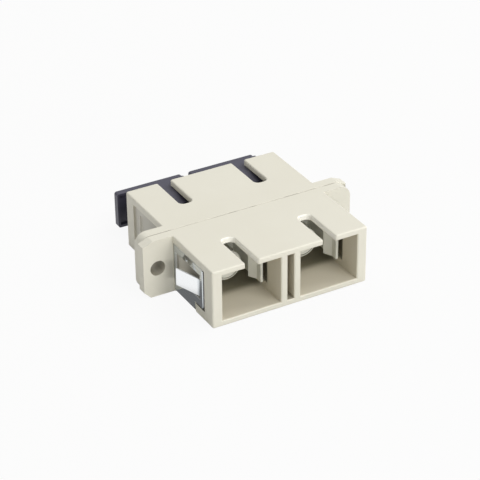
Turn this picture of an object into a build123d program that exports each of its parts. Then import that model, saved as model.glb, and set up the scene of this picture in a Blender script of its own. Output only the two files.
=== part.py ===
"""Duplex push-pull fibre adapter with a two-hole flange, a steel panel clip and two rear dust plugs.

Millimetres. The origin is the centre of the parting plane, halfway between the two flange holes.
X runs across the two ports, Y from the front ports (-Y) to the rear ports (+Y), Z is up.
The two housing halves are one moulding used twice: the rear one is the front one turned half a turn
about Z. The same holds for the inner latch frames, one for each port.
"""
import os

from build123d import *

# Housing half
pitch = 12.7              # distance between the two fibre axes
port_w = 9.5              # port opening across
port_h = 7.4              # port opening up
side_wall = 1.6           # outer side walls
roof = 0.9                # top and bottom walls
half_len = 13.4           # parting plane to front face
corner_r = 0.3            # upright corners of the front face
edge_r = 0.25             # edges round the top and bottom faces
mouth_chamfer = 0.15      # chamfer round each opening in the front face
gap_w = 1.07              # coring slot between the two ports
gap_depth = 10.0

# Flange
cut_overhang = 4.8        # how far the ear with cut corners stands out from the body
round_overhang = 4.5      # and the ear with round ones
flange_t = 1.65           # thickness of one half of the flange
hole_spacing = 30.4
hole_d = 2.4
ear_cut_w = 1.6           # upper corner of the cut ear, along the top
ear_cut_h = 0.65          # and down its end
ear_cut_low = 1.05        # lower corner, both ways
ear_round = 1.8           # corners of the round ear
parting_v = 0.12          # chamfer that leaves a fine groove along the parting line

# Key slot in the roof of each port
key_w = 2.1
key_len = 7.5
key_end_r = 0.8
key_mouth_r = 0.3

# Inner latch frame
frame_clear = 0.05        # all round between the base plate and its pocket
base_t = 1.2
ledge_x = 0.6             # how much the pocket is wider than the port, each side
ledge_z = 0.22            # and higher
arm_gap = 7.5             # between the inner faces of the two arms
arm_t = 0.5
arm_h = 4.7
arm_len = 9.1             # parting plane to arm tip
hook_depth = 0.65         # how far the hook stands in from the arm
hook_len = 2.4            # shoulder to arm tip
nose_len = 1.1            # last part of the arm, in front of the ramp
nose_step = 0.05          # how far its inner face lies outside the arm's
tip_r = 0.15
arm_relief = 0.5          # depth of the flexing room in the port's side walls
arm_room = 0.28           # room round the arm, above, below and in front of its tip

# Alignment sleeve and the tube that holds it
ferrule_d = 2.5
sleeve_t = 0.35
sleeve_len = 11.3
sleeve_slit = 0.5
sleeve_clear = 0.05       # all round between sleeve and tube
tube_t = 0.7
lip_t = 0.5               # end lip that keeps the sleeve in
lip_hole_d = 2.9          # a little more than the ferrule, less than the sleeve
tube_chamfer = 0.25
funnel_d = 3.8            # lead-in round the lip's hole
funnel_depth = 0.3

# Steel clip
clip_t = 0.25
clip_recess = 0.3         # depth of its recess in the housing
clip_bend_r = 0.15        # inner radius where the wings meet the strip
clip_gap = 0.15           # wing to recess edge, above and below
clip_rear_gap = 0.05      # wing to recess edge, towards the flange
clip_front_gap = 0.35     # and towards the mouths
recess_step = 0.15        # full-width step between the flange and the recess
wing_recess_len = 9.2
strip_recess_len = 6.5    # the part that runs under the bottom
wing_top = 1.05           # recess edge below the top face
wing_bottom = 1.5         # lower edge of the recess's front part, above the bottom face
wing_corner_r = 0.45
window_rear = 0.45        # width of the strip between window and flange end of the wing
window_top = 1.15         # width of the strip above the window
window_len = 7.3
window_h = 4.0
pocket_depth = 0.25       # room for the tongue in the housing, behind the window
tongue_h = 2.75
tongue_top_gap = 0.8      # window edge to tongue
tongue_len = 4.55
tongue_out = 1.45         # how far the free end stands out
notch_r = 0.45            # round notch in the strip above the window
notch_pos = 3.45          # its centre from the window's flange end
notch_rise = 0.35         # and above the window's top edge
barb_len = 0.55           # small barb that stands in the notch
barb_h = 0.25

# Dust plug
plug_clear = 0.15         # all round between plug and port
plug_in = 4.9             # length inside the port
plug_out = 1.9            # full section behind the rear face
plug_wall = 1.0
plug_corner_r = 0.65
plug_nose_len = 2.6       # length of the tapered nose
plug_nose_taper = 11.0    # its slope on all four sides, degrees
neck_w = 6.4
neck_h = 3.4
head_w = 11.4
head_h = 5.8
head_drop = 1.2           # head centre below the fibre axis
head_depth = 1.25
head_rim = 0.4            # rim round the hollow in the side towards the housing
head_hollow = 0.4         # depth of that hollow
head_corner_r = 0.4
head_edge_r = 0.25
head_reach = 5.7          # rear face of the housing to the end of the head

# Worked out from the sizes above
body_w = pitch + port_w + 2 * side_wall
body_h = port_h + 2 * roof
top_z = body_h / 2
base_w = port_w + 2 * ledge_x - 2 * frame_clear
base_h = port_h + 2 * ledge_z - 2 * frame_clear
sleeve_r = ferrule_d / 2 + sleeve_t
tube_bore_r = sleeve_r + sleeve_clear
tube_r = tube_bore_r + tube_t
tube_end = sleeve_len / 2 + sleeve_clear + lip_t
port_x = pitch / 2
recess_y = flange_t + recess_step
core_w = body_w - 2 * clip_recess
core_low = clip_recess - top_z
wing_high = top_z - wing_top
wing_low = wing_bottom - top_z
clip_y = recess_y + clip_rear_gap
clip_w = core_w + 2 * clip_t
clip_low = core_low - clip_t
clip_high = wing_high - clip_gap
wing_foot = wing_low + clip_gap
wing_len = wing_recess_len - clip_rear_gap - clip_front_gap
strip_len = strip_recess_len - clip_rear_gap - clip_front_gap
window_high = clip_high - window_top
window_front_y = -(clip_y + window_rear + window_len)
overcut = 1.0             # how far a cutting tool runs past the surface it starts from

os.makedirs("parts", exist_ok=True)


def write(part, name):
    """Label a finished piece and write it to its own STEP file."""
    part.label = name
    export_step(part, f"parts/{name}.step")


# Housing half, front ports towards -Y
with BuildPart() as half:
    with BuildSketch(Plane.XZ):
        Rectangle(body_w, body_h)
    extrude(amount=half_len)
    front_uprights = half.edges().filter_by(Axis.Z).group_by(Axis.Y)[0]
    fillet(front_uprights, corner_r)

    # Key slots, open at the mouth, with their outline seen from above
    k = key_w / 2
    m = k + 2 * key_mouth_r
    for x in (-port_x, port_x):
        with BuildSketch(Plane((x, -half_len, port_h / 2 - overcut))):
            with BuildLine():
                FilletPolyline(
                    (-m, 0), (-k, 0), (-k, key_len), (k, key_len), (k, 0), (m, 0),
                    radius=[key_mouth_r, key_end_r, key_end_r, key_mouth_r],
                )
                Polyline((m, 0), (m, -overcut), (-m, -overcut), (-m, 0))
            make_face()
        extrude(amount=roof + 2 * overcut, mode=Mode.SUBTRACT)

    top_edges = half.faces().sort_by(Axis.Z)[-1].outer_wire().edges()
    bottom_edges = half.faces().sort_by(Axis.Z)[0].outer_wire().edges()
    rim = [e for e in top_edges + bottom_edges if e.center().Y < -edge_r / 2]
    fillet(rim, edge_r)

    # Half of the flange, left ear with cut corners and right ear with round ones
    cut_x = -body_w / 2 - cut_overhang
    round_x = body_w / 2 + round_overhang
    with BuildSketch(Plane.XZ) as flange:
        with BuildLine():
            Polyline(
                (round_x, -top_z),
                (round_x, top_z),
                (cut_x + ear_cut_w, top_z),
                (cut_x, top_z - ear_cut_h),
                (cut_x, ear_cut_low - top_z),
                (cut_x + ear_cut_low, -top_z),
                close=True,
            )
        make_face()
        fillet(flange.vertices().group_by(Axis.X)[-1], ear_round)
    extrude(amount=flange_t)
    chamfer(half.faces().sort_by(Axis.Y)[-1].outer_wire().edges(), parting_v)

    with BuildSketch(Plane.XZ):
        with Locations((-hole_spacing / 2, 0), (hole_spacing / 2, 0)):
            Circle(hole_d / 2)
    extrude(amount=flange_t, mode=Mode.SUBTRACT)

    # Ports right through, the base plate's pocket and the room for the arms behind each wall
    with BuildSketch(Plane.XZ):
        with Locations((-port_x, 0), (port_x, 0)):
            Rectangle(port_w, port_h)
    extrude(amount=half_len, mode=Mode.SUBTRACT)
    with BuildSketch(Plane.XZ):
        with Locations((-port_x, 0), (port_x, 0)):
            Rectangle(port_w + 2 * ledge_x, port_h + 2 * ledge_z)
    extrude(amount=base_t, mode=Mode.SUBTRACT)
    with BuildSketch(Plane.XZ):
        with Locations((-port_x, 0), (port_x, 0)):
            Rectangle(port_w + 2 * arm_relief, arm_h + 2 * arm_room)
    extrude(amount=arm_len + arm_room, mode=Mode.SUBTRACT)

    # Coring slot between the ports, and the chamfers round all three mouths
    with BuildSketch(Plane.XZ.offset(half_len)):
        Rectangle(gap_w, port_h)
    extrude(amount=-gap_depth, mode=Mode.SUBTRACT)
    with BuildSketch(Plane.XZ.offset(half_len)):
        with Locations((-port_x, 0), (port_x, 0)):
            Rectangle(port_w + 2 * mouth_chamfer, port_h + 2 * mouth_chamfer)
        Rectangle(gap_w + 2 * mouth_chamfer, port_h + 2 * mouth_chamfer)
    extrude(amount=-mouth_chamfer, taper=45, mode=Mode.SUBTRACT)

    # Clip recess: round both sides and the bottom next to the flange, on the sides only further out
    with BuildSketch(Plane.XZ.offset(recess_y)) as band:
        with Locations((0, (wing_high - top_z - overcut) / 2)):
            Rectangle(body_w + 2 * overcut, wing_high + top_z + overcut)
        with Locations((0, (wing_high + core_low) / 2)):
            core = Rectangle(core_w, wing_high - core_low, mode=Mode.SUBTRACT)
        fillet(band.vertices().filter_by(lambda v: abs(v.Y - core_low) < 1e-6), clip_bend_r)
    extrude(amount=strip_recess_len, mode=Mode.SUBTRACT)
    with BuildSketch(Plane.XZ.offset(recess_y)):
        with Locations((0, (wing_high + wing_low) / 2)):
            Rectangle(body_w + 2 * overcut, wing_high - wing_low)
            Rectangle(core_w, wing_high - wing_low, mode=Mode.SUBTRACT)
    extrude(amount=wing_recess_len, mode=Mode.SUBTRACT)

    # Pocket behind each window of the clip
    for side in (-1, 1):
        with BuildSketch(Plane.YZ.offset(side * (core_w / 2 - pocket_depth))):
            with Locations((window_front_y + window_len / 2, window_high - window_h / 2)):
                Rectangle(window_len, window_h)
        extrude(amount=side * (pocket_depth + overcut), mode=Mode.SUBTRACT)

write(half.part, "front_housing")
write(Rot(0, 0, 180) * half.part, "rear_housing")

# Latch frame for one port, on the fibre axis, arms towards -Y
with BuildPart() as latch_frame:
    with BuildSketch(Plane.XZ):
        Rectangle(base_w, base_h)
    extrude(amount=base_t)
    with BuildSketch(Plane.XZ):
        Circle(tube_r)
    extrude(amount=tube_end)
    chamfer(latch_frame.faces().sort_by(Axis.Y)[0].edges(), tube_chamfer)

    # Arm outline seen from above, with its hook, ramp and nose
    inner = arm_gap / 2
    outer = inner + arm_t
    with BuildSketch(Plane.XY) as arms:
        with BuildLine():
            Polyline(
                (inner, -base_t / 2),
                (inner, -arm_len + hook_len),
                (inner - hook_depth, -arm_len + hook_len),
                (inner + nose_step, -arm_len + nose_len),
                (inner + nose_step, -arm_len),
                (outer, -arm_len),
                (outer, -base_t / 2),
                close=True,
            )
        make_face()
        fillet(arms.vertices().group_by(Axis.Y)[0], tip_r)
        mirror(about=Plane.YZ)
    extrude(amount=arm_h / 2, both=True)

    with BuildSketch(Plane.XZ):
        Circle(tube_bore_r)
    extrude(amount=tube_end - lip_t, mode=Mode.SUBTRACT)
    with BuildSketch(Plane.XZ):
        Circle(lip_hole_d / 2)
    extrude(amount=tube_end, mode=Mode.SUBTRACT)
    with BuildSketch(Plane.XZ.offset(tube_end)):
        Circle(funnel_d / 2)
    extrude(amount=-funnel_depth, taper=45, mode=Mode.SUBTRACT)

for side, x in (("left", -port_x), ("right", port_x)):
    write(Pos(x, 0, 0) * latch_frame.part, f"{side}_front_latch_frame")
    write(Pos(x, 0, 0) * Rot(0, 0, 180) * latch_frame.part, f"{side}_rear_latch_frame")

# Split sleeve, its slit on top
with BuildPart() as sleeve:
    with BuildSketch(Plane.XZ):
        Circle(sleeve_r)
        Circle(ferrule_d / 2, mode=Mode.SUBTRACT)
        with Locations((0, sleeve_r)):
            Rectangle(sleeve_slit, 2 * sleeve_t + sleeve_r / 2, mode=Mode.SUBTRACT)
    extrude(amount=sleeve_len / 2, both=True)

for side, x in (("left", -port_x), ("right", port_x)):
    write(Pos(x, 0, 0) * sleeve.part, f"{side}_alignment_sleeve")

# Clip, folded from one sheet that lies on the floor of the recess
tongue_high = window_high - tongue_top_gap
notch_y = window_front_y + window_len - notch_pos
with BuildPart() as clip:
    with BuildSketch(Plane.XZ.offset(clip_y)) as fold:
        with Locations((0, (clip_high + clip_low) / 2)):
            Rectangle(clip_w, clip_high - clip_low)
        fillet(fold.vertices().group_by(Axis.Y)[0], clip_bend_r + clip_t)
        with BuildSketch(mode=Mode.SUBTRACT) as inside:
            with Locations((0, (clip_high + core_low) / 2)):
                Rectangle(core_w, clip_high - core_low)
            fillet(inside.vertices().group_by(Axis.Y)[0], clip_bend_r)
    extrude(amount=strip_len)
    with BuildSketch(Plane.XZ.offset(clip_y)):
        with Locations((0, (clip_high + wing_foot) / 2)):
            Rectangle(clip_w, clip_high - wing_foot)
            Rectangle(core_w, clip_high - wing_foot, mode=Mode.SUBTRACT)
    extrude(amount=wing_len)
    front_corners = clip.edges().filter_by(Axis.X).group_by(Axis.Y)[0]
    fillet(front_corners, wing_corner_r)

    # Window in both wings, with a round notch and its barb in the strip above it
    with BuildSketch(Plane.YZ):
        with Locations((window_front_y + window_len / 2, window_high - window_h / 2)):
            Rectangle(window_len, window_h)
        with Locations((notch_y, window_high + notch_rise)):
            Circle(notch_r)
        with Locations((notch_y - notch_r + barb_len / 2, window_high + notch_rise)):
            Rectangle(barb_len, barb_h, mode=Mode.SUBTRACT)
    extrude(amount=clip_w / 2 + overcut, both=True, mode=Mode.SUBTRACT)

    # Tongues, bent out from the front edge of each window towards the flange
    with BuildSketch(Plane.XY.offset(tongue_high - tongue_h)):
        with BuildLine():
            Polyline(
                (clip_w / 2 - clip_t, window_front_y),
                (clip_w / 2, window_front_y),
                (clip_w / 2 + tongue_out, window_front_y + tongue_len),
                (clip_w / 2 + tongue_out - clip_t, window_front_y + tongue_len),
                close=True,
            )
        make_face()
        mirror(about=Plane.YZ)
    extrude(amount=tongue_h)

write(clip.part, "mounting_clip")

# Dust plug for one rear port, on the fibre axis, pulled out towards +Y
nose_y = half_len - plug_in
plug_end_y = half_len + plug_out
head_end_y = half_len + head_reach
head_plate = head_depth - head_hollow
plug_w = port_w - 2 * plug_clear
plug_h = port_h - 2 * plug_clear
arm_notch = arm_len + arm_room - nose_y
with BuildPart() as plug:
    with BuildSketch(Plane.XZ.offset(-nose_y - plug_nose_len)) as section:
        RectangleRounded(plug_w, plug_h, plug_corner_r)
    extrude(amount=nose_y + plug_nose_len - plug_end_y)
    extrude(section.sketch, amount=plug_nose_len, taper=plug_nose_taper)
    with BuildSketch(Plane.XZ.offset(-nose_y)):
        Rectangle(plug_w - 2 * plug_wall, plug_h - 2 * plug_wall)
    extrude(amount=nose_y - plug_end_y + plug_wall, mode=Mode.SUBTRACT)
    with BuildSketch(Plane.XZ.offset(-nose_y)):
        Rectangle(plug_w, arm_h + 2 * arm_room)
    extrude(amount=-arm_notch, mode=Mode.SUBTRACT)

    # Neck, and the hollow head that a fingernail catches
    with BuildSketch(Plane.XZ.offset(-plug_end_y + plug_wall / 2)):
        with Locations((0, -head_drop)):
            Rectangle(neck_w, neck_h)
    extrude(amount=plug_end_y - plug_wall / 2 - head_end_y + head_plate / 2)
    with BuildSketch(Plane.XZ.offset(-head_end_y)):
        with Locations((0, -head_drop)):
            RectangleRounded(head_w, head_h, head_corner_r)
    extrude(amount=head_depth)
    fillet(plug.faces().sort_by(Axis.Y)[-1].outer_wire().edges(), head_edge_r)
    with BuildSketch(Plane.XZ.offset(head_plate - head_end_y)):
        with Locations((0, -head_drop)):
            Rectangle(head_w - 2 * head_rim, head_h - 2 * head_rim)
            Rectangle(neck_w, neck_h, mode=Mode.SUBTRACT)
    extrude(amount=head_hollow + overcut, mode=Mode.SUBTRACT)

for side, x in (("left", -port_x), ("right", port_x)):
    write(Pos(x, 0, 0) * plug.part, f"{side}_dust_plug")
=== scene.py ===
"""Looks of a duplex push-pull fibre adapter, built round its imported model.

Everything is in metres in the model's own frame: X across the two ports, Y from the front ports to
the rear ones, Z up, with the origin in the middle of the parting plane.
"""
import math

import bpy
import numpy as np
from mathutils import Matrix, Vector


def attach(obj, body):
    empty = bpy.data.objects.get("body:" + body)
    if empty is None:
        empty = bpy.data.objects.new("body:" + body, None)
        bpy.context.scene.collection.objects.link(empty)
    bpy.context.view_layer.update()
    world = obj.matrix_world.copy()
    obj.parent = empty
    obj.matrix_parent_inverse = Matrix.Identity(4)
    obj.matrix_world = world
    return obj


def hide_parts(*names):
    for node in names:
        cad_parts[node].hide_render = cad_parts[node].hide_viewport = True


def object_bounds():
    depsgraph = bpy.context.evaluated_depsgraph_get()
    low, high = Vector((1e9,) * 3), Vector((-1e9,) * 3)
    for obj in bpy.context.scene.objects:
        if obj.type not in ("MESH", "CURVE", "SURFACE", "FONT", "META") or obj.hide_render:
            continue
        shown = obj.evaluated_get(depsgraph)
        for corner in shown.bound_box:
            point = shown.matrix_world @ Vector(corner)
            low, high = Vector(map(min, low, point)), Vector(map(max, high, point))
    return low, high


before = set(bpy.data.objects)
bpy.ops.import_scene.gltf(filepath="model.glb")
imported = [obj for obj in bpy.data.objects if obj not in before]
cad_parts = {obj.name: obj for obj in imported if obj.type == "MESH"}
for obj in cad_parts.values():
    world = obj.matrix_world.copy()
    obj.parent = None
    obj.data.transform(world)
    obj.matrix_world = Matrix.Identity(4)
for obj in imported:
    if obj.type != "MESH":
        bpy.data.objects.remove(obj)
cad_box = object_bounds()
MM = 0.001

# The adapter as the photograph takes it: from the front left and above, with a long lens.
# The angles and the distance are those at which the real 12.7 mm port pitch and the 25.4 mm body
# fall on the picture's own corners.
AZIMUTH = math.radians(-29.0)
ELEVATION = math.radians(30.64)
ROLL = math.radians(-0.71)
DISTANCE = 269.94 * MM
AIM = Vector((-1.18 * MM, -0.68 * MM, 0.0))
FOCAL_PIXELS = 1840.73
PICTURE_PIXELS = 480

away = Vector((
    math.sin(AZIMUTH) * math.cos(ELEVATION),
    -math.cos(AZIMUTH) * math.cos(ELEVATION),
    math.sin(ELEVATION),
))
level = (-away).cross(Vector((0, 0, 1))).normalized()
upright = level.cross(-away)
right = level * math.cos(ROLL) + upright * math.sin(ROLL)
up = upright * math.cos(ROLL) - level * math.sin(ROLL)

camera_data = bpy.data.cameras.new("camera")
camera_data.sensor_width = 36.0
camera_data.lens = FOCAL_PIXELS / PICTURE_PIXELS * camera_data.sensor_width
camera_data.clip_start = 0.01
camera_data.clip_end = 20.0
camera = bpy.data.objects.new("camera", camera_data)
turned = Matrix((right, up, away)).transposed().to_4x4()
camera.matrix_world = Matrix.Translation(AIM + away * DISTANCE) @ turned
bpy.context.scene.collection.objects.link(camera)
bpy.context.scene.camera = camera
bpy.context.scene.view_settings.view_transform = "Standard"


def linear(hex_colour):
    """sRGB hex to linear: c / 12.92 below 0.04045, else ((c + 0.055) / 1.055) ** 2.4."""
    c = np.array([int(hex_colour[i:i + 2], 16) for i in (1, 3, 5)]) / 255
    c = np.where(c <= 0.04045, c / 12.92, ((c + 0.055) / 1.055) ** 2.4)
    return (*c.tolist(), 1.0)


def add(tree, kind, settings=None, **inputs):
    """Adds a shader node, sets its properties, and sets or links inputs, by name or as i and a number."""
    made = tree.nodes.new(kind)
    for name, value in (settings or {}).items():
        setattr(made, name, value)
    for name, value in inputs.items():
        numbered = name[0] == "i" and name[1:].isdigit()
        socket = made.inputs[int(name[1:]) if numbered else name.replace("_", " ")]
        if isinstance(value, bpy.types.NodeSocket):
            tree.links.new(value, socket)
        else:
            socket.default_value = value
    return made


def cleared(owner):
    """The node tree of a new material or world, with nothing in it."""
    owner.use_nodes = True
    owner.node_tree.nodes.clear()
    return owner.node_tree


# Seamless card under the adapter. It reads as paper white to the camera and partly so in the steel,
# keeps a faint share of its own shading, so that the adapter's shadow shows on it, and throws back
# about as much light as a table top in a light tent does.
CARD = "#D0D0CE"
CARD_WHITE = 0.92            # share of plain white that the camera sees
TENT_MIRROR = 0.35           # share of plain white that steel sees in the tent
CARD_NEAR = 16.5 * MM        # nearer to the middle than this, the steel sees a painted shadow on the card
CARD_FAR = 20 * MM           # and from here on it sees plain white
CARD_PAINTED_SHADOW = 0.19            # strength of that painted shadow in the steel
CARD_HALF = 1.5              # half its width, in metres
CARD_GAP = 0.02 * MM         # keeps the card clear of the adapter's underside
WHITE = (1, 1, 1, 1)
card_z = cad_box[0][2] - CARD_GAP

card_mesh = bpy.data.meshes.new("card")
card_mesh.from_pydata(
    [(-CARD_HALF, -CARD_HALF, card_z), (CARD_HALF, -CARD_HALF, card_z),
     (CARD_HALF, CARD_HALF, card_z), (-CARD_HALF, CARD_HALF, card_z)], [], [(0, 1, 2, 3)])
card = bpy.data.objects.new("card", card_mesh)
bpy.context.scene.collection.objects.link(card)

card_paint = bpy.data.materials.new("white_card")
tree = cleared(card_paint)
rays = add(tree, "ShaderNodeLightPath")
matt = add(tree, "ShaderNodeBsdfDiffuse", Color=linear(CARD))
place = add(tree, "ShaderNodeTexCoord")
flat = add(tree, "ShaderNodeVectorMath", {"operation": "MULTIPLY"},
           i0=place.outputs["Object"], i1=(1, 1, 0))
reach = add(tree, "ShaderNodeVectorMath", {"operation": "LENGTH"}, i0=flat.outputs[0])
# Painted shadow: in the steel the card's glow fades to dark round the adapter.
painted_shadow_fade = add(tree, "ShaderNodeMapRange", {"interpolation_type": "SMOOTHSTEP"},
                Value=reach.outputs["Value"], From_Min=CARD_NEAR, From_Max=CARD_FAR,
                To_Min=CARD_PAINTED_SHADOW, To_Max=1.0)
strength = add(tree, "ShaderNodeMath", {"operation": "MAXIMUM"},
               i0=painted_shadow_fade.outputs[0], i1=rays.outputs["Is Camera Ray"])
glow = add(tree, "ShaderNodeEmission", Color=WHITE, Strength=strength.outputs[0])
seen = add(tree, "ShaderNodeMath", {"operation": "MULTIPLY_ADD"},
           i0=rays.outputs["Is Camera Ray"], i1=CARD_WHITE, i2=rays.outputs["Is Glossy Ray"])
share = add(tree, "ShaderNodeMath", {"operation": "ADD", "use_clamp": True},
            i0=seen.outputs[0], i1=rays.outputs["Is Transmission Ray"])
both = add(tree, "ShaderNodeMixShader", i0=share.outputs[0], i1=matt.outputs[0], i2=glow.outputs[0])
add(tree, "ShaderNodeOutputMaterial", Surface=both.outputs[0])
card_mesh.materials.append(card_paint)

# Studio light: a pale tent, a softbox high in front a little to the right, one at the right side,
# a weak low one at the left, a low strip in front that lights the ports' depths, and a weak lamp
# behind for the far side.
ROOM = 0.30                  # the tent's strength as light
world = bpy.data.worlds.new("room")
bpy.context.scene.world = world
tree = cleared(world)
rays = add(tree, "ShaderNodeLightPath")
dim = add(tree, "ShaderNodeBackground", Color=WHITE, Strength=ROOM)
white = add(tree, "ShaderNodeBackground", Color=WHITE, Strength=1.0)
mirrored = add(tree, "ShaderNodeMath", {"operation": "MULTIPLY_ADD"},
               i0=rays.outputs["Is Glossy Ray"], i1=TENT_MIRROR, i2=rays.outputs["Is Camera Ray"])
share = add(tree, "ShaderNodeMath", {"operation": "MULTIPLY_ADD", "use_clamp": True},
            i0=rays.outputs["Is Transmission Ray"], i1=TENT_MIRROR, i2=mirrored.outputs[0])
both = add(tree, "ShaderNodeMixShader", i0=share.outputs[0], i1=dim.outputs[0], i2=white.outputs[0])
add(tree, "ShaderNodeOutputWorld", Surface=both.outputs[0])


def lamp(name, place, size, watts):
    """An area lamp, size wide and high, at place and turned to shine at the adapter's middle."""
    data = bpy.data.lights.new(name, "AREA")
    data.shape = "RECTANGLE"
    data.size, data.size_y = size
    data.energy = watts
    made = bpy.data.objects.new(name, data)
    facing = Vector(place).to_track_quat("Z", "Y").to_matrix().to_4x4()
    made.matrix_world = Matrix.Translation(place) @ facing
    bpy.context.scene.collection.objects.link(made)


lamp("front_softbox", (0.198, -0.544, 0.689), (0.50, 0.18), 2.6)
lamp("side_softbox", (0.636, 0.0, 0.636), (0.50, 0.50), 4.2)
lamp("left_lamp", (-0.845, 0.0, 0.308), (0.50, 0.30), 0.8)
lamp("low_strip", (0.0, -0.886, 0.156), (0.50, 0.10), 2.7)
lamp("back_lamp", (0.0, 0.578, 0.689), (0.50, 0.50), 1.0)


# Housing: two ivory mouldings in a glass-filled polyester, welded at the parting plane.
# The outside of the tool is spark-eroded, which gives a satin skin with a grain of about 0.15 mm.
# Spaces that cores leave are painted darker and warmer, a painted shade, and darker still in the ports'
# depths, where more shade is painted. The key slots' walls, which lie in shade, are painted palest, a
# painted light.
IVORY = "#E4E1D3"
IVORY_DEEP = "#DDD9C9"
# Painted shade: the cored spaces at their mouths, and deep in the ports.
IVORY_CORE_SHADE = "#DAD3C0"
IVORY_PORT_DEPTH_SHADE = "#8F8975"
IVORY_WELD = "#B4B0A1"
# Painted light on walls that lie in shade.
IVORY_PAINTED_LIGHT = "#F8F6EC"
IVORY_CLOUD = 9 * MM                    # width of the soft clouds in its colour
IVORY_SATIN = (0.42, 0.52)              # roughness of the skin between the grain's hollows and tops
GRAIN = 0.15 * MM
GRAIN_DEEP = 0.01 * MM
WELD = 0.11 * MM                        # half the width of the weld line
WELD_FADE = 2.5 * MM                    # length over which the line comes and goes
# Boxes of painted shade, and two of painted light, in the spaces that cores leave, in millimetres: the
# middle, with X taken without its sign, half the size, two distances from the parting plane, and the
# colour at each of the two.
PAINTED_SHADE_AND_LIGHT = (
    # Ports
    ((6.35, 0.0, 0.0), (4.80, 13.3, 3.75), 8.0, 6.3, IVORY_CORE_SHADE, IVORY_PORT_DEPTH_SHADE),
    # Coring slot
    ((0.0, 0.0, 0.0), (0.58, 13.3, 3.75), 12.8, 9.0, IVORY_CORE_SHADE, "#A39C87"),
    # Its floor
    ((0.0, 0.0, -3.80), (0.58, 13.25, 0.40), 12.8, 12.0, "#B5AF9D", "#A09A88"),
    # Front key slots' walls: painted light
    ((6.35, -9.60, 4.14), (1.07, 3.85, 0.42), 13.0, 6.0, IVORY_PAINTED_LIGHT, IVORY_PAINTED_LIGHT),
    # Clip recess
    ((12.53, -6.40, 0.22), (0.15, 4.63, 3.35), 11.0, 1.8, "#77746A", "#8A877B"),
    # Its twin at the rear
    ((12.53, 6.40, 0.22), (0.15, 4.59, 3.35), 9.8, 3.0, "#D0CDC1", "#B6B3A7"),
    # Side pockets behind the clip
    ((12.25, -5.95, 0.25), (0.13, 3.70, 2.05), 7.5, 3.0, "#98948A", "#C6C2B6"),
    # Side pockets at the rear
    ((12.25, 5.95, 0.25), (0.16, 3.62, 2.05), 9.8, 3.0, "#D0CDC1", "#B6B3A7"),
    # End walls of those: painted light over their shade
    ((12.25, 9.60, 0.25), (0.16, 0.06, 2.05), 9.8, 3.0, "#F6F4EC", "#F6F4EC"),
    # Latch arms' room at the ports' outer sides
    ((11.36, 0.0, 0.0), (0.27, 9.36, 2.60), 9.0, 6.0, "#97917F", "#837D6B"),
    # And at their inner sides
    ((1.34, 0.0, 0.0), (0.27, 9.36, 2.60), 9.0, 6.0, "#97917F", "#837D6B"),
    # Ear holes
    ((15.2, 0.0, 0.0), (1.25, 1.6, 1.25), 1.6, 0.0, "#C6C1B1", "#A29D8C"),
)
ivory = bpy.data.materials.new("ivory_moulded_polyester")
tree = cleared(ivory)
place = add(tree, "ShaderNodeTexCoord")
cloud = add(tree, "ShaderNodeTexNoise", Vector=place.outputs["Object"], Scale=1 / IVORY_CLOUD, Detail=3.0)
tint = add(tree, "ShaderNodeMix", {"data_type": "RGBA"},
           i0=cloud.outputs[0], i6=linear(IVORY_DEEP), i7=linear(IVORY))
apart = add(tree, "ShaderNodeSeparateXYZ", Vector=place.outputs["Object"])
aside = add(tree, "ShaderNodeMath", {"operation": "ABSOLUTE"}, i0=apart.outputs["X"])
mirrored = add(tree, "ShaderNodeCombineXYZ",
               X=aside.outputs[0], Y=apart.outputs["Y"], Z=apart.outputs["Z"])
depth = add(tree, "ShaderNodeMath", {"operation": "ABSOLUTE"}, i0=apart.outputs["Y"])
faded = add(tree, "ShaderNodeTexNoise", Vector=place.outputs["Object"], Scale=1 / WELD_FADE, Detail=1.0)
broken = add(tree, "ShaderNodeMapRange", Value=faded.outputs[0],
             From_Min=0.40, From_Max=0.56, To_Min=0.25)
welded = add(tree, "ShaderNodeMath", {"operation": "LESS_THAN"}, i0=depth.outputs[0], i1=WELD)
line = add(tree, "ShaderNodeMath", {"operation": "MULTIPLY"}, i0=welded.outputs[0], i1=broken.outputs[0])
colour = add(tree, "ShaderNodeMix", {"data_type": "RGBA"},
             i0=line.outputs[0], i6=tint.outputs[2], i7=linear(IVORY_WELD))
# Paints each box's shade, or light, over the ivory.
for middle, half, outer, inner, outer_hex, inner_hex in PAINTED_SHADE_AND_LIGHT:
    # Zero in all three parts inside the box, so its length tells inside from outside.
    centred = add(tree, "ShaderNodeVectorMath", {"operation": "SUBTRACT"},
                  i0=mirrored.outputs[0], i1=[c * MM for c in middle])
    folded_in = add(tree, "ShaderNodeVectorMath", {"operation": "ABSOLUTE"}, i0=centred.outputs[0])
    share = add(tree, "ShaderNodeVectorMath", {"operation": "DIVIDE"},
                i0=folded_in.outputs[0], i1=[c * MM for c in half])
    steps = add(tree, "ShaderNodeVectorMath", {"operation": "FLOOR"}, i0=share.outputs[0])
    outside = add(tree, "ShaderNodeVectorMath", {"operation": "LENGTH"}, i0=steps.outputs[0])
    inside = add(tree, "ShaderNodeMath", {"operation": "LESS_THAN"}, i0=outside.outputs["Value"], i1=0.5)
    deep = add(tree, "ShaderNodeMapRange", {"interpolation_type": "SMOOTHSTEP"},
               Value=depth.outputs[0], From_Min=inner * MM, From_Max=outer * MM)
    drawn = add(tree, "ShaderNodeMix", {"data_type": "RGBA"},
                i0=deep.outputs[0], i6=linear(inner_hex), i7=linear(outer_hex))
    colour = add(tree, "ShaderNodeMix", {"data_type": "RGBA"},
                 i0=inside.outputs[0], i6=colour.outputs[2], i7=drawn.outputs[2])
skin = add(tree, "ShaderNodeTexNoise", Vector=place.outputs["Object"], Scale=1 / GRAIN, Detail=2.0)
bump = add(tree, "ShaderNodeBump", Strength=0.25, Distance=GRAIN_DEEP, Height=skin.outputs[0])
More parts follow.
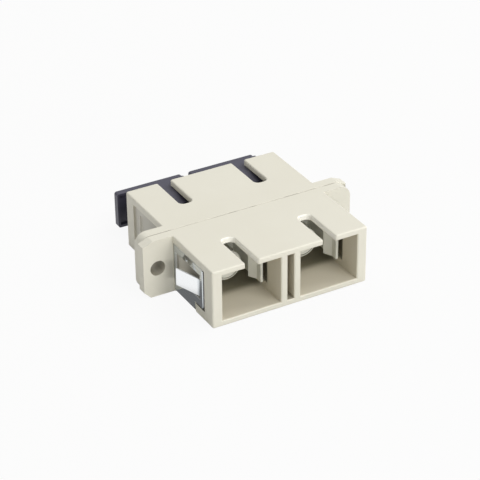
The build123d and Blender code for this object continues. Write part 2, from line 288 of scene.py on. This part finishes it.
rough = add(tree, "ShaderNodeMapRange", Value=skin.outputs[0],
            To_Min=IVORY_SATIN[0], To_Max=IVORY_SATIN[1])
shader = add(tree, "ShaderNodeBsdfPrincipled", Base_Color=colour.outputs[2], Roughness=rough.outputs[0],
             IOR=1.5, Normal=bump.outputs[0])
add(tree, "ShaderNodeOutputMaterial", Surface=shader.outputs[0])


def finish(node, material):
    """Gives every material slot of a CAD node's object the material, and leaves its mesh alone."""
    for place_on_node in node.material_slots:
        place_on_node.material = material


for name in ("front_housing", "rear_housing"):
    finish(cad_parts[name], ivory)

# Latch frames: the same plastic family, unfilled and a touch greyer, with a smoother skin. Each one's
# base plate is trapped between the halves, in a pocket at the parting plane. A fine dark ring round
# the funnel in a sleeve tube's end is a painted shadow line at the funnel's step.
PUTTY = "#E4E4DA"
PUTTY_DEEP = "#DEDED2"
PUTTY_CLOUD = 2.5 * MM                  # width of the soft clouds in its colour
PUTTY_SHADOW_LINE = "#86857A"
PUTTY_SATIN = (0.34, 0.42)
PORT_X = 6.35 * MM                      # a port's middle
RING_R = 1.93 * MM                      # its radius, to the middle of the line
RING_HALF = 0.07 * MM                   # half the width of the ring
putty = bpy.data.materials.new("putty_moulded_polyester")
tree = cleared(putty)
place = add(tree, "ShaderNodeTexCoord")
skin = add(tree, "ShaderNodeTexNoise", Vector=place.outputs["Object"], Scale=1 / GRAIN, Detail=2.0)
bump = add(tree, "ShaderNodeBump", Strength=0.15, Distance=GRAIN_DEEP, Height=skin.outputs[0])
one_side = add(tree, "ShaderNodeVectorMath", {"operation": "ABSOLUTE"}, i0=place.outputs["Object"])
centred = add(tree, "ShaderNodeVectorMath", {"operation": "SUBTRACT"},
              i0=one_side.outputs[0], i1=(PORT_X, 0, 0))
across_port = add(tree, "ShaderNodeVectorMath", {"operation": "MULTIPLY"},
                  i0=centred.outputs[0], i1=(1, 0, 1))
radius = add(tree, "ShaderNodeVectorMath", {"operation": "LENGTH"}, i0=across_port.outputs[0])
# A painted shadow line round the funnel.
shadow_line = add(tree, "ShaderNodeMath", {"operation": "COMPARE"},
           i0=radius.outputs["Value"], i1=RING_R, i2=RING_HALF)
cloud = add(tree, "ShaderNodeTexNoise", Vector=place.outputs["Object"], Scale=1 / PUTTY_CLOUD, Detail=3.0)
tint = add(tree, "ShaderNodeMix", {"data_type": "RGBA"},
           i0=cloud.outputs[0], i6=linear(PUTTY_DEEP), i7=linear(PUTTY))
colour = add(tree, "ShaderNodeMix", {"data_type": "RGBA"},
             i0=shadow_line.outputs[0], i6=tint.outputs[2], i7=linear(PUTTY_SHADOW_LINE))
rough = add(tree, "ShaderNodeMapRange", Value=skin.outputs[0],
            To_Min=PUTTY_SATIN[0], To_Max=PUTTY_SATIN[1])
shader = add(tree, "ShaderNodeBsdfPrincipled", Base_Color=colour.outputs[2], Roughness=rough.outputs[0],
             IOR=1.5, Normal=bump.outputs[0])
add(tree, "ShaderNodeOutputMaterial", Surface=shader.outputs[0])
for side in ("left", "right"):
    for end in ("front", "rear"):
        finish(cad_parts[f"{side}_{end}_latch_frame"], putty)

# Alignment sleeves: phosphor bronze strip rolled into a split tube, which grips the two ferrules.
# The strip's bright finish is dulled a little by wear.
BRONZE = "#C79A62"
BRONZE_WEAR = 0.4 * MM                  # size of the dulled spots
BRONZE_SHINE = (0.22, 0.34)
bronze = bpy.data.materials.new("phosphor_bronze")
tree = cleared(bronze)
place = add(tree, "ShaderNodeTexCoord")
wear = add(tree, "ShaderNodeTexNoise", Vector=place.outputs["Object"], Scale=1 / BRONZE_WEAR, Detail=2.0)
rough = add(tree, "ShaderNodeMapRange", Value=wear.outputs[0],
            To_Min=BRONZE_SHINE[0], To_Max=BRONZE_SHINE[1])
shader = add(tree, "ShaderNodeBsdfPrincipled", Base_Color=linear(BRONZE), Metallic=1.0,
             Roughness=rough.outputs[0])
add(tree, "ShaderNodeOutputMaterial", Surface=shader.outputs[0])
for side in ("left", "right"):
    finish(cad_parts[f"{side}_alignment_sleeve"], bronze)

# Panel clip: one strip of rolled stainless spring steel, blanked, then folded up round the bottom.
# A tongue is cut in each wing's window and bent out, to snap behind the edge of a panel.
# The front half's recess holds it, and its sheared edges are rolled over a little.
SHEET = 0.25 * MM                       # thickness
FOLD = 0.275 * MM                       # radius of the folds, to the middle of the sheet
FLAT = 12.25 * MM                       # half the strip between the folds
FOLD_Z = -4.15 * MM                     # where the folds end and the wings start
STRIP_END = -7.95 * MM                  # front edge of the strip
FOOT = -2.95 * MM                       # lower edge of the wings in front of it
TOP = 3.40 * MM                         # upper edge of the wings
FRONT = -10.50 * MM                     # and their front edge
# Reach of each in Y, and in Z
WINDOW = np.array([(-9.60, -2.30), (-1.75, 2.25)]) * MM
TONGUE = np.array([(-9.60, -5.05), (-1.30, 1.45)]) * MM
TONGUE_RISE = 0.348                     # slope of a tongue's straight part
TONGUE_TURN = 0.40 * MM                 # length over which it turns out of the wing
CORNER = 0.45 * MM                      # radius of the wings' front corners
NOTCH = np.array([-5.75, 2.60]) * MM    # middle of the round notch over the window
NOTCH_R = 0.45 * MM
BARB = np.array([(-6.20, -5.65), (2.475, 2.725)]) * MM
BARB_CURL = 0.07 * MM                   # how far the barb's tip stands out
EDGE_ROLL = 0.07 * MM                   # how far the sheared edges are rolled over


def rounded(a, b):
    """Moves the square -1..1 on to the round disc: a * sqrt(1 - b^2 / 2), and b with a likewise."""
    return a * np.sqrt(1 - b * b / 2), b * np.sqrt(1 - a * a / 2)


def within(y, z, box):
    """True where y and z lie in a box given by its reach in Y and in Z."""
    return (y > box[0][0]) & (y < box[0][1]) & (z > box[1][0]) & (z < box[1][1])


def folded(w):
    """X and height of the sheet's middle at w from the centre line: flat, a quarter circle, then up."""
    turn = np.clip((w - FLAT) / FOLD, 0, math.pi / 2)
    rise = np.maximum(w - FLAT - FOLD * math.pi / 2, 0)
    return np.minimum(w, FLAT) + FOLD * np.sin(turn), FOLD_Z - FOLD * np.cos(turn) + rise


# Lines of the sheet across and along it, one at each edge of a feature and more where it turns.
along = np.array([-10.5, -10.42, -10.27, -10.05, -9.8, -9.6, -9.48, -9.36, -9.2, -9.0, -8.7, -7.95,
                  -7.1, -6.5, -6.2, -6.06, -5.9, -5.75, -5.65, -5.5, -5.38, -5.3, -5.05, -4.2, -3.2,
                  -2.3, -1.85]) * MM
wing_z = np.array([-3.6, -2.95, -2.86, -2.72, -2.5, -2.1, -1.75, -1.3, -0.6, 0.1, 0.8, 1.45, 1.85,
                   2.25, 2.35, 2.475, 2.6, 2.725, 2.85, 2.95, 3.05, 3.17, 3.31, 3.4]) * MM
half_w = np.concatenate([
    np.linspace(0, FLAT, 9)[1:], FLAT + FOLD * np.linspace(0, math.pi / 2, 7)[1:],
    FLAT + FOLD * math.pi / 2 + wing_z - FOLD_Z])
across = np.concatenate([-half_w[::-1], [0], half_w])
w, y = np.meshgrid(np.abs(across), along, indexing="ij")
side = np.sign(across)[:, None] + 0 * w
x, z = folded(w)

# A cell of the grid is steel where its middle is outside window and notch, or on tongue or barb.
mid_y = (y[1:, 1:] + y[:-1, :-1]) / 2
mid_z = folded((w[1:, 1:] + w[:-1, :-1]) / 2)[1]
notch_box = np.stack([NOTCH - NOTCH_R, NOTCH + NOTCH_R], axis=1)
steel_there = ((mid_z > FOOT) | (mid_y > STRIP_END)) & ~within(mid_y, mid_z, WINDOW)
steel_there &= ~within(mid_y, mid_z, notch_box)
steel_there |= within(mid_y, mid_z, TONGUE) | within(mid_y, mid_z, BARB)

# Tongue: out = rise * (sqrt(d^2 + turn^2) - turn), d from its bend. Barb: out grows as d^2.
HAIR = 1e-7                             # lets a box take in the grid lines on its own edge
grown = np.array([-HAIR, HAIR])
d = y - TONGUE[0][0]
out = TONGUE_RISE * (np.sqrt(d * d + TONGUE_TURN ** 2) - TONGUE_TURN) * within(y, z, TONGUE + grown)
d = (y - BARB[0][0]) / (BARB[0][1] - BARB[0][0])
out += BARB_CURL * d * d * within(y, z, BARB + grown)

# The notch's square becomes a disc, and each front corner's square a quarter of one.
ROUNDED = ((NOTCH, NOTCH_R, 0, 0),
           ((FRONT + CORNER, TOP - CORNER), CORNER, -1, 1),
           ((FRONT + CORNER, FOOT + CORNER), CORNER, -1, -1))
NEAR = 1e-4                             # slack that takes in a point on the square's own edge
for middle, radius, y_way, z_way in ROUNDED:
    a, b = (y - middle[0]) / radius, (z - middle[1]) / radius
    there = (np.abs(a) < 1 + NEAR) & (np.abs(b) < 1 + NEAR) & (a * y_way > -NEAR) & (b * z_way > -NEAR)
    round_a, round_b = rounded(np.clip(a, -1, 1), np.clip(b, -1, 1))
    y = np.where(there, middle[0] + radius * round_a, y)
    z = np.where(there, middle[1] + radius * round_b, z)

points = np.stack([side * (x + out), y, z], axis=-1).reshape(-1, 3)
corner = np.arange(w.size).reshape(w.shape)
cells = np.stack([corner[:-1, :-1], corner[:-1, 1:], corner[1:, 1:], corner[1:, :-1]], axis=-1)
quads = cells[steel_there]
used, quads = np.unique(quads, return_inverse=True)
clip_mesh = bpy.data.meshes.new("panel_clip")
clip_mesh.from_pydata(points[used].tolist(), [], quads.reshape(-1, 4).tolist())
clip_mesh.shade_smooth()
clip = bpy.data.objects.new("panel_clip", clip_mesh)
bpy.context.scene.collection.objects.link(clip)
wall = clip.modifiers.new("sheet", "SOLIDIFY")
wall.thickness = SHEET
wall.offset = 0.0
wall.use_even_offset = True
wall.material_offset_rim = 1
edge = clip.modifiers.new("rolled_edge", "BEVEL")
edge.width = EDGE_ROLL
edge.segments = 3
edge.limit_method = "ANGLE"
edge.angle_limit = math.radians(50)     # rolls the sheared edges, and leaves the folds alone
edge.harden_normals = True
edge.use_clamp_overlap = True

# Cold rolling leaves fine lines along the strip, too fine to show, so drawn 0.12 mm wide. The tongues are
# painted brighter, a painted reflection of the bright card, and the die draws the sheet over along its
# front edges.
STEEL = "#DFE3E6"
STEEL_DARK = "#C2C8CC"
STEEL_PAINTED_GLEAM = "#F2F4F5"
STEEL_SHINE = (0.08, 0.18)
ROLL_LINE = 0.12 * MM                   # width of a rolling line
ROLL_LINE_DEEP = 0.004 * MM             # and its depth
ROLL_STRETCH = 0.08                     # a line's width over its length
PAINTED_GLEAM_REACH = (12.67 * MM, 12.80 * MM)       # how far out the painted reflection starts, and is complete
DIE_ROLL = 0.30 * MM                    # how far in from a front edge the sheet is drawn over
DIE_ROLL_DEEP = 0.10 * MM               # and how far back, at the edge
steel = bpy.data.materials.new("rolled_spring_steel")
tree = cleared(steel)
place = add(tree, "ShaderNodeTexCoord")
rolled = add(tree, "ShaderNodeMapping", Vector=place.outputs["Object"], Scale=(1.0, ROLL_STRETCH, 1.0))
lines = add(tree, "ShaderNodeTexNoise", Vector=rolled.outputs[0], Scale=1 / ROLL_LINE, Detail=3.0)
tint = add(tree, "ShaderNodeMix", {"data_type": "RGBA"},
           i0=lines.outputs[0], i6=linear(STEEL_DARK), i7=linear(STEEL))
apart = add(tree, "ShaderNodeSeparateXYZ", Vector=place.outputs["Object"])
reach = add(tree, "ShaderNodeMath", {"operation": "ABSOLUTE"}, i0=apart.outputs["X"])
# Painted reflection: the tongues' steel is drawn brighter.
painted_gleam = add(tree, "ShaderNodeMapRange", {"interpolation_type": "SMOOTHSTEP"},
             Value=reach.outputs[0], From_Min=PAINTED_GLEAM_REACH[0], From_Max=PAINTED_GLEAM_REACH[1])
colour = add(tree, "ShaderNodeMix", {"data_type": "RGBA"},
             i0=painted_gleam.outputs[0], i6=tint.outputs[2], i7=linear(STEEL_PAINTED_GLEAM))
rough = add(tree, "ShaderNodeMapRange", Value=lines.outputs[0],
            To_Min=STEEL_SHINE[0], To_Max=STEEL_SHINE[1])
# The front edge is at FRONT on the wings and at STRIP_END on the strip below them.
on_strip = add(tree, "ShaderNodeMath", {"operation": "LESS_THAN"}, i0=apart.outputs["Z"], i1=FOOT)
front_edge = add(tree, "ShaderNodeMapRange", Value=on_strip.outputs[0], To_Min=FRONT, To_Max=STRIP_END)
from_edge = add(tree, "ShaderNodeMath", {"operation": "SUBTRACT"},
                i0=apart.outputs["Y"], i1=front_edge.outputs[0])
drawn = add(tree, "ShaderNodeMapRange", {"interpolation_type": "SMOOTHSTEP"},
            Value=from_edge.outputs[0], From_Min=0.0, From_Max=DIE_ROLL)
rolled_over = add(tree, "ShaderNodeBump", Strength=1.0, Distance=DIE_ROLL_DEEP, Height=drawn.outputs[0])
bump = add(tree, "ShaderNodeBump", Strength=0.12, Distance=ROLL_LINE_DEEP, Height=lines.outputs[0],
           Normal=rolled_over.outputs[0])
shader = add(tree, "ShaderNodeBsdfPrincipled", Base_Color=colour.outputs[2], Metallic=1.0,
             Roughness=rough.outputs[0], Normal=bump.outputs[0])
add(tree, "ShaderNodeOutputMaterial", Surface=shader.outputs[0])
clip_mesh.materials.append(steel)

# The sheared edges are torn rather than rolled: rougher, so they spread the light into a pale line.
STEEL_SHEARED = "#EDEFEF"
SHEARED_TEAR = 0.1 * MM                 # size of the torn grains
SHEARED_SATIN = (0.4, 0.55)
sheared = bpy.data.materials.new("sheared_spring_steel")
tree = cleared(sheared)
place = add(tree, "ShaderNodeTexCoord")
torn = add(tree, "ShaderNodeTexNoise", Vector=place.outputs["Object"], Scale=1 / SHEARED_TEAR, Detail=2.0)
rough = add(tree, "ShaderNodeMapRange", Value=torn.outputs[0],
            To_Min=SHEARED_SATIN[0], To_Max=SHEARED_SATIN[1])
shader = add(tree, "ShaderNodeBsdfPrincipled", Base_Color=linear(STEEL_SHEARED), Metallic=1.0,
             Roughness=rough.outputs[0])
add(tree, "ShaderNodeOutputMaterial", Surface=shader.outputs[0])
clip_mesh.materials.append(sheared)
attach(clip, "adapter")
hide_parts("mounting_clip")

# Dust plugs: soft black polyethylene, each moulded in one piece and pushed into a rear port.
# The tool is polished, so the skin is satin with a faint orange peel, and it picks up pale dust.
CHARCOAL = "#403F4C"
CHARCOAL_DUSTY = "#504F5E"
DUST = 1.5 * MM                         # width of the dustier patches
PEEL = 0.3 * MM                         # width of a dimple
PEEL_DEEP = 0.01 * MM
PLUG_SATIN = (0.38, 0.5)
polyethylene = bpy.data.materials.new("black_polyethylene")
tree = cleared(polyethylene)
place = add(tree, "ShaderNodeTexCoord")
skin = add(tree, "ShaderNodeTexNoise", Vector=place.outputs["Object"], Scale=1 / PEEL, Detail=3.0)
bump = add(tree, "ShaderNodeBump", Strength=0.2, Distance=PEEL_DEEP, Height=skin.outputs[0])
rough = add(tree, "ShaderNodeMapRange", Value=skin.outputs[0],
            To_Min=PLUG_SATIN[0], To_Max=PLUG_SATIN[1])
dust = add(tree, "ShaderNodeTexNoise", Vector=place.outputs["Object"], Scale=1 / DUST, Detail=4.0)
colour = add(tree, "ShaderNodeMix", {"data_type": "RGBA"},
             i0=dust.outputs[0], i6=linear(CHARCOAL), i7=linear(CHARCOAL_DUSTY))
shader = add(tree, "ShaderNodeBsdfPrincipled", Base_Color=colour.outputs[2], Roughness=rough.outputs[0],
             IOR=1.51, Normal=bump.outputs[0])
add(tree, "ShaderNodeOutputMaterial", Surface=shader.outputs[0])
for side in ("left", "right"):
    finish(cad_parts[f"{side}_dust_plug"], polyethylene)
